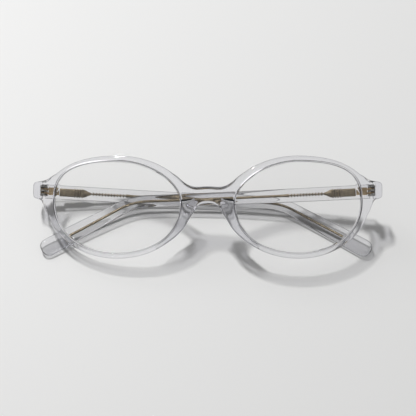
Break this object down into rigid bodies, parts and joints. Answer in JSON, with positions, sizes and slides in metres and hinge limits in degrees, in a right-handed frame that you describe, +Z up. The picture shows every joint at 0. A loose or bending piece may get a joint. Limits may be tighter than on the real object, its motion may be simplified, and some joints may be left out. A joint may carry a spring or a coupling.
{
  "type": "reading glasses",
  "caption": "Slim full-rim oval reading glasses in clear acetate, lying on their folded temples, with cored temples and barrel hinges.",
  "frame": {"origin": "bottom centre of the bounding box, on the table that the folded glasses lie on", "axes": "+X towards the wearer's left end of the front, +Z up from the table, +Y away from the viewer, towards the brow"},
  "size_m": [0.1378, 0.0404, 0.0298],
  "materials": {
    "clear_acetate": "polished",
    "clear_lens": "polished",
    "wire_metal": "satin",
    "hinge_steel": "satin",
    "hinge_gilt": "gloss",
    "screw_steel": "gloss"
  },
  "bodies": {
    "front_frame": {"front": "clear_acetate", "left_lens": "clear_lens", "right_lens": "clear_lens", "left_nose_pad": "clear_acetate", "right_nose_pad": "clear_acetate", "left_front_hinge": "hinge_steel", "right_front_hinge": "hinge_steel", "left_hinge_screw": "screw_steel", "right_hinge_screw": "screw_steel"},
    "left_arm": {"left_temple": "clear_acetate", "left_core_wire": "wire_metal", "left_temple_hinge": "hinge_gilt"},
    "right_arm": {"right_temple": "clear_acetate", "right_core_wire": "wire_metal", "right_temple_hinge": "hinge_gilt"}
  },
  "joints": [
    {"name": "left_temple_fold", "type": "hinge", "parent": "front_frame", "child": "left_arm", "pos_m": [0.06484, 0.00788, 0.01662], "axis": [0, -0.9048, -0.4258], "range_deg": [0, 91]},
    {"name": "right_temple_fold", "type": "hinge", "parent": "front_frame", "child": "right_arm", "pos_m": [-0.06443, 0.01181, 0.00827], "axis": [0, 0.9048, 0.4258], "range_deg": [0, 87.1]}
  ]
}
